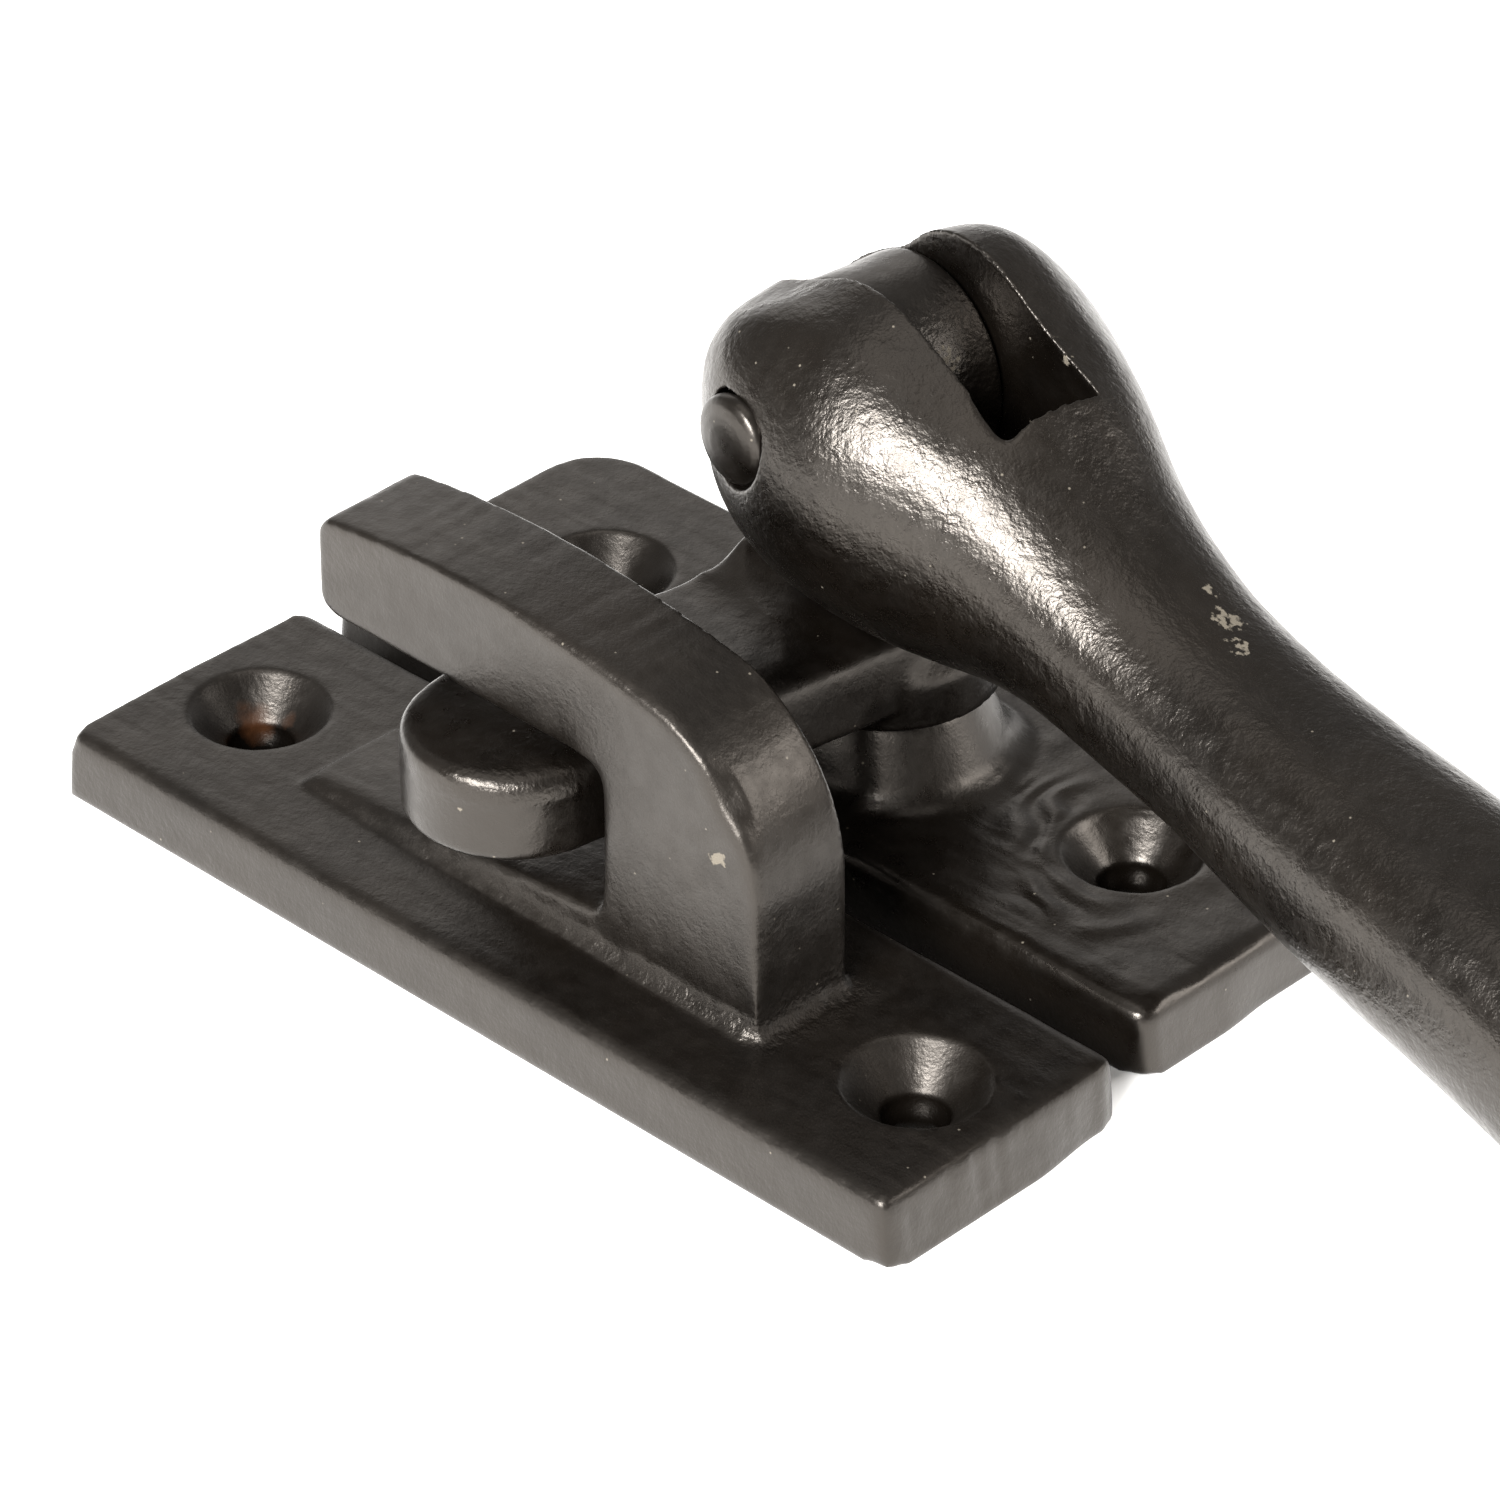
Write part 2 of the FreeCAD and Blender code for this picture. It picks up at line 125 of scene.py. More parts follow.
def casting(name, node, body, voxel, softening, extras=()):
    """A copy of a CAD node that stands for it, remeshed at the voxel size and then softened.

    Extras are more solids to weld in, as lofted() gives them.
    """
    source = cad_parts[node]
    piece = bpy.data.objects.new(name, joined(source.data, extras))
    bpy.context.scene.collection.objects.link(piece)
    remesh = piece.modifiers.new("remesh", "REMESH")
    remesh.mode = "VOXEL"
    remesh.voxel_size = voxel * MM
    remesh.use_smooth_shade = True
    soften = piece.modifiers.new("soften", "SMOOTH")
    soften.factor = 0.5
    soften.iterations = softening
    applied(piece)
    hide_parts(node)
    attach(piece, body)
    return piece


def lofted(rings):
    """A closed solid (points, faces) through rings that all have the same number of points."""
    size = len(rings[0])
    points = [tuple(point) for ring in rings for point in ring]
    faces = [tuple(range(size)), tuple(reversed(range(len(points) - size, len(points))))]
    for ring in range(len(rings) - 1):
        for index in range(size):
            here, beside = ring * size + index, ring * size + (index + 1) % size
            faces.append((here, here + size, beside + size, beside))
    return points, faces


def worn(piece, share, rounds):
    """Smooth the points by their share (0 to 1), as wear does to edges."""
    mesh = piece.data
    ends = np.zeros(len(mesh.edges) * 2, dtype=np.int32)
    mesh.edges.foreach_get("vertices", ends)
    ends = ends.reshape(-1, 2)
    points = positions(mesh)
    pull = 0.5 * share(points)
    ends = ends[(pull[ends] > 0).any(axis=1)]
    count = np.maximum(1, np.bincount(ends.ravel(), minlength=len(points)))
    for _ in range(rounds):
        for axis in range(3):
            line = points[:, axis]
            total = np.bincount(ends[:, 0], line[ends[:, 1]], len(points))
            total += np.bincount(ends[:, 1], line[ends[:, 0]], len(points))
            points[:, axis] = line + pull * (total / count - line)
    move_to(mesh, points)


def shaped(piece, shift):
    """Move each point by shift(points), in millimetres."""
    points = positions(piece.data)
    move_to(piece.data, points + shift(points))


def displaced(piece, offset):
    """Move each point along its normal by offset(points, normals), in millimetres."""
    mesh = piece.data
    points, outward = positions(mesh), normals(mesh)
    move_to(mesh, points + outward * offset(points, outward)[:, None])


def stored(piece, name, values):
    """Store one number per point, for the piece's material."""
    attribute = piece.data.attributes.new(name, "FLOAT", "POINT")
    attribute.data.foreach_set("value", values.astype(np.float32))


# ---------------------------------------------------------------- sizes, mostly the CAD's

# How finely the castings are remeshed
FINE = 0.2
FINEST = 0.11

# Rounds of smoothing that wear the edges of the plates, the nose and the handle's slot
PLATE_ROUNDS = 30
NOSE_ROUNDS = 110
SLOT_ROUNDS = 130

# Plates: corners of the rectangle they take up on the floor, front faces, and screw holes
PLATES_LOW, PLATES_HIGH = (-28.8, -31.5), (31.2, 9.5)
PLATE_TOP = 4.05
HOOK_HOLES = ((-23.0, -22.9), (25.4, -22.9))
MOUNT_HOLES = ((-19.6, 0.0), (19.6, 0.0))

# Hook: its two faces (Y), the ends of the ramp under the tongue and the leg's outside (X)
HOOK_NEAR, HOOK_FAR = -26.03, -19.43
RAMP_LOW, RAMP_HIGH = -15.8, 6.1
LEG_OUTSIDE = 17.3

# Nose and the boss it turns in
PIVOT = np.array([3.0, -1.5])
BOSS_TOP = 8.49
BOSS_R = 6.35
TONGUE_SIDE = np.array([0.987, -0.16])      # direction that the tongue's +X side faces

# Handle and its rivet
RIVET_PLACE = np.array([3.0, -1.5, 26.79])
LEVER_ANGLE = math.radians(-6.5)
LEVER_ALONG = np.array([math.cos(LEVER_ANGLE), math.sin(LEVER_ANGLE), 0])
LEVER_ACROSS = np.array([-math.sin(LEVER_ANGLE), math.cos(LEVER_ANGLE), 0])
Z_AXIS = np.array([0.0, 0.0, 1.0])
SLOT_CORNER = (14.3, -6.5, 30.4)

# Domed head of the rivet: (radius, distance from the middle of the knuckle), from its seat out
DOME = (
    (2.3, 9.8), (2.5, 10.1), (2.5, 10.35), (2.4, 10.65), (2.1, 10.86),
    (1.6, 11.02), (1.0, 11.12), (0.3, 11.16))
DOME_SIDES = 32

# Metal added to the hook plate: how far it reaches into the casting, the step at the low end of
# the ramp, and the sections and height of the run along the foot
SUNK = 0.4
RAMP_STEP = 0.2
WELD_SECTIONS = 60
WELD_RISE = 1.1


def fade(value, low, high):
    """0 below low, 1 above high, smooth between."""
    part = np.clip((value - low) / (high - low), 0, 1)
    return part * part * (3 - 2 * part)


def bump(points, centre, radius):
    """1 at the centre, falling smoothly to 0 at the radius."""
    return 1 - fade(np.linalg.norm(points - np.array(centre), axis=1), 0.0, radius)


def ramp_top(x):
    """Height of the ramp over the plate."""
    return 0.55 + 1.95 * (x - RAMP_LOW) / (RAMP_HIGH - RAMP_LOW)


def ramp_solid():
    """The ramp under the tongue, which starts with a low step."""
    low, start, end = PLATE_TOP - SUNK, RAMP_LOW - RAMP_STEP, RAMP_HIGH + RAMP_STEP
    outline = [
        (start, low), (start, PLATE_TOP + 0.35), (RAMP_LOW, PLATE_TOP + 0.55),
        (end, PLATE_TOP + 2.5), (end, low)]
    return lofted([[(x, y, z) for x, z in outline] for y in (HOOK_FAR, HOOK_NEAR)])


def foot_weld(face_y, outward):
    """The hollow run of metal along the foot of the ramp and leg, on the hook's face at face_y."""
    rings = []
    for x in np.linspace(RAMP_LOW - RAMP_STEP, LEG_OUTSIDE - SUNK, WELD_SECTIONS):
        rise = min(0.8 * ramp_top(x), WELD_RISE)
        reach = 0.35 + 0.35 * min(1, (x - RAMP_LOW) / 8)
        ring = [(x, face_y - outward * SUNK, PLATE_TOP - SUNK),
                (x, face_y + outward * reach, PLATE_TOP - SUNK)]
        for part in (0, 0.2, 0.45, 0.7, 1):
            ring.append((x, face_y + outward * reach * (1 - part) ** 2, PLATE_TOP + rise * part))
        ring.append((x, face_y - outward * SUNK, PLATE_TOP + rise))
        rings.append(ring)
    return lofted(rings)


def rivet_dome(side):
    """Domed head, set in the dished seat in the fork's ear."""
    rings = []
    for radius, height in DOME:
        ring = []
        for step in range(DOME_SIDES):
            angle = step * math.tau / DOME_SIDES
            spot = (
                RIVET_PLACE + side * height * LEVER_ACROSS
                + radius * math.cos(angle) * LEVER_ALONG + radius * math.sin(angle) * Z_AXIS)
            ring.append(tuple(spot))
        rings.append(ring)
    return lofted(rings)


# ---------------------------------------------------------------- the pieces

hook_plate = casting(
    "hook_plate_casting", "hook_plate", "frame_plate", FINE, 4,
    [ramp_solid(), foot_weld(HOOK_NEAR, -1), foot_weld(HOOK_FAR, 1)])
mounting_plate = casting(
    "mounting_plate_casting", "mounting_plate", "casement_plate", FINE, 3)
nose = casting("nose_casting", "nose_piece", "nose", FINE * 0.8, 5)
handle = casting("handle_casting", "handle", "lever", FINEST, 8)
rivet = casting(
    "fork_rivet_forged", "fork_rivet", "lever", FINEST, 3,
    [rivet_dome(-1), rivet_dome(1)])


# ---------------------------------------------------------------- shape, beyond the CAD

HOLE_TAPER = 0.30               # share of its radius that a hole loses at the back
END_FLARE = 0.45                # how far the back of the hook plate's +X end stands out
MOUNT_END_FLARE = 0.3
BOSS_SPREAD = 0.9               # at the boss's foot
BOSS_LEAN = 1.4                 # inward, at the boss's top


def hole_taper(points, holes):
    """Screw holes that narrow a little toward the back."""
    shift = np.zeros_like(points)
    for x, y in holes:
        away = points[:, :2] - np.array([x, y])
        reach = np.hypot(away[:, 0], away[:, 1])
        low_in_hole = fade(-reach, -2.5, -2.2) * fade(-points[:, 2], -1.7, -0.5)
        shift[:, :2] -= away * (low_in_hole * HOLE_TAPER)[:, None]
    return shift


def hook_plate_shape(points):
    """Flare at the +X end, tapered screw holes, and a knock on the hook's shoulder."""
    x, y, z = points.T
    shift = hole_taper(points, HOOK_HOLES)
    toward_back = np.clip(1 - z / PLATE_TOP, 0, 1)
    shift[:, 0] += END_FLARE * toward_back * fade(x, 28, 30.5) * fade(-y, 16, 21)
    # the knock lies just off the shoulder's near edge
    along = (x - 14.9) * -0.65 + (z - 17.3) * 0.76
    knock = np.exp(-(along / 1.5) ** 2) * fade(-y, 24.6, 25.5) * fade(x, 11, 12) * fade(z, 12, 13)
    shift[:, 0] -= 0.40 * knock
    shift[:, 2] -= 0.34 * knock
    return shift


def mounting_plate_shape(points):
    """Flare at the +X end, tapered screw holes, and a sloping boss."""
    x, y, z = points.T
    shift = hole_taper(points, MOUNT_HOLES)
    toward_back = np.clip(1 - z / PLATE_TOP, 0, 1)
    shift[:, 0] += MOUNT_END_FLARE * toward_back * fade(x, 27, 29) * fade(-y, 1, 5)
    # the boss slopes, and spreads toward its foot on the +X side
    away = points[:, :2] - PIVOT
    reach = np.hypot(away[:, 0], away[:, 1])
    spread = BOSS_SPREAD * fade(away[:, 0] / np.maximum(reach, 0.01), 0.1, 0.7)
    height = np.clip((z - PLATE_TOP) / (BOSS_TOP - PLATE_TOP), 0, 1)
    slope = (spread - height * (spread + BOSS_LEAN)) * fade(reach, BOSS_R - 1.9, BOSS_R - 0.3)
    slope *= fade(-reach, -9.0, -7.4) * fade(z, 3.5, 4.0)
    shift[:, :2] += away / np.maximum(reach, 0.01)[:, None] * slope[:, None]
    return shift


def handle_shape(points):
    """The uneven crests of the fork's two ears."""
    offset = points - RIVET_PLACE
    along, across, over = offset @ LEVER_ALONG, offset @ LEVER_ACROSS, offset[:, 2]
    on_far_ear = fade(across, 1.5, 2.6)
    # both ears roll over toward the slot
    crest = fade(over, 1.0, 5.0) * fade(along, -10, 0) * fade(-along, -13.5, -10.0)
    near_roll = fade(across, -7.2, -3.8) * fade(-across, 2.0, 3.0) * 0.4
    far_roll = fade(-across, -6.5, -3.2) * fade(across, 1.5, 2.8) * 0.4
    roll = -crest * (near_roll + far_roll)
    # the far ear is cut back at its end, and both ears stand a little fuller than the CAD's
    far_end = 0.95 * (bump(points, (-1.0, 3.4, 32.2), 5.5) * on_far_ear)
    near_crown = 1.45 * bump(points, (-1.4, -9.6, 30.2), 7)
    far_crown = 0.5 * bump(points, (6.5, 2.8, 33.9), 7) * on_far_ear
    far_side = 0.4 * bump(points, (15.5, 3.0, 29.0), 7) * on_far_ear
    return (
        roll[:, None] * Z_AXIS
        + far_end[:, None] * np.array([0.9, 0.0, -0.45])
        + near_crown[:, None] * np.array([-0.5, -0.45, 0.74])
        + far_crown[:, None] * np.array([-0.1, 0.15, 0.98])
        + far_side[:, None] * np.array([0.55, 0.5, 0.66]))


shaped(hook_plate, hook_plate_shape)
shaped(mounting_plate, mounting_plate_shape)
shaped(handle, handle_shape)


# ---------------------------------------------------------------- worn and rounded edges

def hook_plate_wear(points):
    """The hook's shoulder, the ramp's near edge, and the plate's rim and +X corners."""
    x, y, z = points.T
    shoulder = fade(-y, 24.6, 25.6) * (0.35 + 0.65 * fade(x, -2, 6)) * fade(z, 6, 9)
    rim = (fade(-y, 30.2, 30.9) + fade(x, 30.0, 30.7) + fade(y, -15.2, -14.7)) * fade(z, 2.7, 3.3)
    corner = fade(x, 30.0, 30.6) * (fade(-y, 30.2, 30.9) + fade(y, -15.4, -14.9))
    ramp_edge = fade(-y, 24.6, 25.4) * fade(z, 4.2, 4.6) * fade(-z, -8.0, -6.5)
    ramp_edge *= fade(-x, -6.2, -5.5)
    return np.clip(shoulder + rim + corner + ramp_edge, 0, 1)


def mounting_plate_wear(points):
    """The plate's near and +X rim, and the corner between them."""
    x, y, z = points.T
    rim = (fade(-y, 9.5, 10.2) + fade(x, 28.6, 29.3)) * fade(z, 3.0, 3.6)
    corner = fade(x, 28.6, 29.2) * fade(-y, 9.6, 10.2)
    return np.clip(rim + corner, 0, 1)


def nose_wear(points):
    """The tongue's rim and +X flank, and the edges under the fork's ears."""
    x, y, z = points.T
    tongue_rim = fade(z, 13.2, 13.7) * fade(-y, 24, 26) * (0.25 + 0.75 * fade(x, -0.5, 2.5))
    under_ears = fade(-np.abs(points @ LEVER_ACROSS), -9, -8) * fade(-z, -22, -20)
    under_ears *= fade(z, 12.6, 13)
    sideways = (points[:, :2] - PIVOT) @ TONGUE_SIDE
    flank = fade(sideways, 3.4, 4.6) * fade(z, 11.0, 12.0) * fade(-z, -16.5, -15.5)
    flank *= fade(y, -25, -21)
    return np.clip(tongue_rim + under_ears + flank, 0, 1)


def handle_wear(points):
    """The near corner at the end of the slot."""
    return bump(points, SLOT_CORNER, 2.6)


worn(hook_plate, hook_plate_wear, PLATE_ROUNDS)
worn(mounting_plate, mounting_plate_wear, PLATE_ROUNDS)
worn(nose, nose_wear, NOSE_ROUNDS)
worn(handle, handle_wear, SLOT_ROUNDS)


# ---------------------------------------------------------------- cast and painted skin

# Heights are in millimetres along the outward direction. The backs of the plates stay flat.

def sand_cast(points, seed, waves=0.03, peel=0.012):
    """The uneven skin of a painted sand casting."""
    return waves * layered_noise(points, 4.0, seed) + peel * lattice_noise(points, 0.8, seed + 11)


def lengthwise_grain(points, seed):
    """Streaks along X."""
    return 0.02 * layered_noise(points * [0.16, 1.6, 1.6], 1.0, seed)


def hook_plate_skin(points, outward):
    """Lumpy run of metal round the hook's foot, streaks on the leg and top, tooling on the end."""
    x, y, z = points.T
    up = fade(outward[:, 2], 0.6, 0.9)
    low = fade(z, 0.0, 0.8)
    foot = fade(-y, 25.7, 26.1) * fade(y, -27.3, -26.8) * fade(-z, -7.0, -5.8) * fade(z, 3.9, 4.2)
    foot *= fade(x, -16, -15) * fade(-x, -18, -17)
    rough = 0.03 * layered_noise(points, 0.8, 31) * foot
    leg_face = fade(-y, 26.0, 26.1) * fade(z, 4.2, 5.2) * fade(-z, -11.5, -7.0) * fade(x, 5.8, 7)
    slanting = points * [1.0, 1.0, 0.45] + z[:, None] * [0.5, 0, 0]
    rough += 0.11 * lattice_noise(slanting, 1.1, 39) * leg_face
    leg_foot = fade(-np.abs(x - 17.6), -1.4, -0.3) * fade(-z, -5.6, -4.6) * fade(z, 3.7, 4.1)
    leg_foot *= fade(y, -27.0, -26.0) * fade(-y, 18.4, 19.4)
    rough += 0.06 * layered_noise(points, 0.9, 33) * leg_foot
    end_face = fade(outward[:, 0], 0.7, 0.95) * fade(x, 29, 31)
    tooling = 0.05 * lattice_noise(points * [1, 1.4, 0.25], 1.0, 35) * end_face
    hook_top = up * fade(z, 16, 18)
    pull = 0.025 * lattice_noise(points * [1.3, 0.2, 1.3], 0.8, 37) * hook_top
    skin = sand_cast(points, 3, 0.022, 0.006) + 0.05 * lattice_noise(points, 7.0, 47)
    return low * (skin + lengthwise_grain(points, 21) * up + rough + tooling + pull)


def mounting_plate_skin(points, outward):
    """Ripples of metal round the +X screw hole, and lumps beside them."""
    x, y, z = points.T
    up = fade(outward[:, 2], 0.6, 0.9)
    low = fade(z, 0.0, 0.8)
    flat = fade(-np.abs(z - PLATE_TOP), -0.4, -0.2)
    wander = 2.6 * lattice_noise(points, 4.2, 41) + 0.7 * lattice_noise(points, 2.1, 42)
    away = points[:, :2] - np.array(MOUNT_HOLES[1])
    reach = np.hypot(away[:, 0], away[:, 1])
    toward = away @ np.array([-0.6, -0.8]) / np.maximum(reach, 0.01)
    ring = fade(reach, 4.4, 5.0) * fade(-reach, -9.0, -6.0) * fade(toward, -0.2, 0.6)
    ripple = 0.13 * np.sin(2 * math.pi * (reach + wander) / 2.1) * ring * flat
    ripple *= 0.65 + 0.6 * lattice_noise(points, 3.1, 45)
    lumps = 0.10 * layered_noise(points, 2.6, 43, 2) * flat * fade(x, 6, 11)
    skin = sand_cast(points, 5, 0.025, 0.006)
    return low * (skin + lengthwise_grain(points, 25) * up + ripple + lumps)


def nose_skin(points, outward):
    """Smooth where the nose turns in the boss, and smoother than most where it faces the ears."""
    above_boss = fade(points[:, 2], 8.6, 9.2)
    clear_of_ears = fade(-np.abs(outward @ LEVER_ACROSS), -0.9, -0.6)
    return above_boss * (0.3 + 0.7 * clear_of_ears) * sand_cast(points, 7, 0.03, 0.012)


def handle_skin(points, outward):
    """Nearly smooth inside the slot."""
    offset = points - RIVET_PLACE
    along, across = offset @ LEVER_ALONG, offset @ LEVER_ACROSS
    in_slot = fade(-np.abs(across), -3.5, -3.1) * fade(-along, -13.5, -12.9)
    return (1 - 0.8 * in_slot) * sand_cast(points, 9, 0.022, 0.007)


displaced(hook_plate, hook_plate_skin)
displaced(mounting_plate, mounting_plate_skin)
displaced(nose, nose_skin)
displaced(handle, handle_skin)
displaced(rivet, lambda points, outward: sand_cast(points, 13, 0.01, 0.004))


# ---------------------------------------------------------------- chips, rust, grit, a painted sheen and painted shade

def spotted(piece, name, spots):
    """Store how strongly each point is marked: spots are (centre, radius, strength)."""
    points = positions(piece.data)
    total = np.zeros(len(points))
    for centre, radius, strength in spots:
        total = np.maximum(total, strength * bump(points, centre, radius))
    stored(piece, name, total)


def masked(piece, name, share):
    """Store how strongly each point is marked: share gives it for X, Y and Z."""
    stored(piece, name, np.clip(share(*positions(piece.data).T), 0, 1))


spotted(hook_plate, "chipped_and_sheen", [
    ((14.7, -26.0, 13.95), 0.95, 0.9), ((14.3, -26.0, 13.8), 0.9, 0.9),
    ((8.0, -26.0, 21.6), 0.8, 0.5), ((10.3, -19.5, 20.6), 0.6, 0.7)])
spotted(hook_plate, "rusty", [((-24.6, -21.9, 2.0), 2.6, 0.6), ((-23.2, -20.6, 2.2), 1.6, 0.45)])
spotted(mounting_plate, "rusty", [((2.5, -10.0, 3.9), 1.6, 0.3)])
# On the nose, the spot on the knuckle is a painted sheen, a light patch that stands for light
# glancing off it; the other two spots are chips.
spotted(nose, "chipped_and_sheen", [
    ((0.7, -30.6, 12.6), 0.8, 0.5), ((1.7, -29.8, 14.4), 1.2, 0.3),
    ((7.9, -2.6, 30.0), 3.2, 0.60)])
spotted(nose, "rusty", [((-1.5, -10.2, 14.7), 1.4, 0.35)])
spotted(handle, "chipped_and_sheen", [
    ((28.0, -3.1, 23.6), 2.6, 0.66), ((26.1, -2.4, 24.2), 1.8, 0.6),
    ((29.6, -4.2, 23.2), 2.0, 0.64), ((12.5, 0.5, 32.4), 1.3, 0.72),
    ((12.2, 0.9, 33.0), 0.8, 0.7), ((13.6, 0.5, 31.2), 1.0, 0.7),
    ((17.1, 1.0, 30.2), 0.3, 0.9), ((15.0, 3.1, 31.5), 0.25, 0.9)])


def hook_plate_grit(x, y, z):
    """Along the near foot of the hook, more toward the leg's corner, and round the leg's foot."""
    near_foot = (
        fade(-y, 25.85, 26.15) * fade(y, -26.8, -26.4)
        * fade(-z, -5.3, -4.7) * fade(z, 3.9, 4.2))
    leg_foot = (
        fade(x, 15.5, 17.2) * fade(-x, -19.6, -18.2)
        * fade(-z, -6.5, -4.8) * fade(z, 3.7, 4.1))
    along = fade(x, -16.5, -15.5) * fade(-x, -18.2, -17.2)
    return (
        near_foot * along * (0.3 + 0.7 * fade(x, 2, 14))
        + leg_foot * fade(y, -27.5, -26.0) * fade(-y, 17.5, 19.0))


def nose_grit(x, y, z):
    """On the knuckle, and on the rim of the tongue's end."""
    knuckle = 0.8 * fade(x, 4.5, 6.5) * fade(z, 24, 26)
    tongue_rim = 0.5 * fade(x, -1.5, 0.5) * fade(z, 12.6, 13.4) * fade(-y, 24, 26)
    return knuckle + tongue_rim


masked(hook_plate, "gritty", hook_plate_grit)
masked(nose, "gritty", nose_grit)


# This mark is painted shade: the paint is dulled, and so darker, low in the screw holes, on the
# plates' sides that face each other, and on the nose's skirt under the handle, where shade falls.

def in_bores(x, y, z, holes):
    inside = 0
    for hole in holes:
        inside = inside + fade(-np.hypot(x - hole[0], y - hole[1]), -2.7, -2.3)
    return inside * fade(-z, -2.2, -1.7)


def hook_plate_painted_shade(x, y, z):
    return in_bores(x, y, z, HOOK_HOLES) + 0.8 * fade(y, -14.9, -14.6) * fade(-z, -3.3, -2.6)


def mounting_plate_painted_shade(x, y, z):
    return in_bores(x, y, z, MOUNT_HOLES) + 0.8 * fade(-y, 10.4, 10.7) * fade(-z, -3.3, -2.6)


def nose_painted_shade(x, y, z):
    return 0.6 * fade(-z, -11.6, -10.6) * fade(y, -8.5, -7.5)


# painted shade on the plates and the nose
masked(hook_plate, "painted_shade", hook_plate_painted_shade)
masked(mounting_plate, "painted_shade", mounting_plate_painted_shade)
masked(nose, "painted_shade", nose_painted_shade)


# ---------------------------------------------------------------- materials

# Colours, as red, green, blue and alpha
PAINT_DARK = (0.0014, 0.0010, 0.0007, 1)
PAINT_LIGHT = (0.0042, 0.0031, 0.0022, 1)
RUST = (0.060, 0.023, 0.009, 1)
# bare iron in the chips, and also the painted sheen on the nose's knuckle
BARE_AND_SHEEN = (0.14, 0.123, 0.096, 1)
DUST = (0.13, 0.115, 0.092, 1)
STEEL = (0.42, 0.40, 0.37, 1)

# How glossy the paint is in general, and where it is dulled as painted shade
PLAIN_GLOSS, SHADED_GLOSS = 0.5, 0.06
GRIT_HEIGHT = 0.12


def painted_iron(name, rough_low, rough_high, peel_height):
    """Satin black paint over cast iron, with dust, chips and a little rust, and painted light: a
    light patch on the nose's knuckle stands for a sheen, and dulled paint stands for shade.

    The roughness wanders between its two values, and peel_height is the paint's finest relief.
    """
    material = bpy.data.materials.new(name)
    material.use_nodes = True
    nodes, links = material.node_tree.nodes, material.node_tree.links
    shader = nodes["Principled BSDF"]
    place = nodes.new("ShaderNodeTexCoord")

    def noise(scale, detail):
        node = nodes.new("ShaderNodeTexNoise")
        node.inputs["Scale"].default_value = scale
        node.inputs["Detail"].default_value = detail
        links.new(place.outputs["Object"], node.inputs["Vector"])
        return node.outputs["Fac"]

    def ramp(source, low, high, first, last):
        node = nodes.new("ShaderNodeMapRange")
        node.inputs["From Min"].default_value = low
        node.inputs["From Max"].default_value = high
        node.inputs["To Min"].default_value = first
        node.inputs["To Max"].default_value = last
        links.new(source, node.inputs["Value"])
        return node.outputs["Result"]

    def maths(operation, first, second):
        node = nodes.new("ShaderNodeMath")
        node.operation = operation
        for index, value in enumerate((first, second)):
            if isinstance(value, (int, float)):
                node.inputs[index].default_value = value
            else:
                links.new(value, node.inputs[index])
        return node.outputs[0]

    def mark(attribute_name):
        node = nodes.new("ShaderNodeAttribute")
        node.attribute_name = attribute_name
        return node.outputs["Fac"]

    def mixed(first, second, share):
        node = nodes.new("ShaderNodeMix")
        node.data_type = "RGBA"
        for socket, value in (("A", first), ("B", second)):
            if isinstance(value, tuple):
                node.inputs[socket].default_value = value
            else:
                links.new(value, node.inputs[socket])
        links.new(share, node.inputs["Factor"])
        return node.outputs["Result"]

    def relief(height, source, under=None):
        """A bump of this height in millimetres, over another one if given."""
        node = nodes.new("ShaderNodeBump")
        node.inputs["Strength"].default_value = 1.0
        node.inputs["Distance"].default_value = height * MM
        links.new(source, node.inputs["Height"])
        if under is not None:
            links.new(under, node.inputs["Normal"])
        return node.outputs["Normal"]

    paint = mixed(PAINT_DARK, PAINT_LIGHT, ramp(noise(140, 4), 0.35, 0.65, 0, 1))
    patches = maths("ADD", mark("rusty"), maths("MULTIPLY", noise(1100, 3), 0.5))
    rust = ramp(patches, 0.55, 1.1, 0, 1)
    # chips, and the painted sheen on the knuckle, take the light bare colour
    chips_and_sheen = ramp(maths("ADD", mark("chipped_and_sheen"), noise(2600, 4)), 1.06, 1.14, 0, 1)
    cells = nodes.new("ShaderNodeTexVoronoi")
    cells.inputs["Scale"].default_value = 800
    links.new(place.outputs["Object"], cells.inputs["Vector"])
    split = nodes.new("ShaderNodeSeparateColor")
    links.new(cells.outputs["Color"], split.inputs["Color"])
    in_a_third_of_cells = maths("GREATER_THAN", split.outputs[0], 0.66)
    dot = ramp(cells.outputs["Distance"], 0.035, 0.07, 1, 0)
    dust = maths("MULTIPLY", dot, in_a_third_of_cells)
    colour = mixed(paint, RUST, rust)
    colour = mixed(colour, BARE_AND_SHEEN, chips_and_sheen)
    colour = mixed(colour, DUST, dust)
    links.new(colour, shader.inputs["Base Color"])
    rough = ramp(noise(900, 5), 0.35, 0.65, rough_low, rough_high)
    links.new(maths("ADD", rough, maths("MULTIPLY", chips_and_sheen, 0.3)), shader.inputs["Roughness"])
    shader.inputs["IOR"].default_value = 1.6
    # the paint's gloss drops, as painted shade, where this mark is set
    gloss = ramp(mark("painted_shade"), 0, 1, PLAIN_GLOSS, SHADED_GLOSS)
    links.new(gloss, shader.inputs["Specular IOR Level"])
    shader.inputs["Specular Tint"].default_value = (1.0, 0.91, 0.82, 1)

    peel = relief(peel_height, noise(2500, 3))
    grain = relief(peel_height * 0.45, noise(6500, 2), peel)
    grit = relief(GRIT_HEIGHT, maths("MULTIPLY", noise(2700, 3), mark("gritty")), grain)
    links.new(grit, shader.inputs["Normal"])
    return material


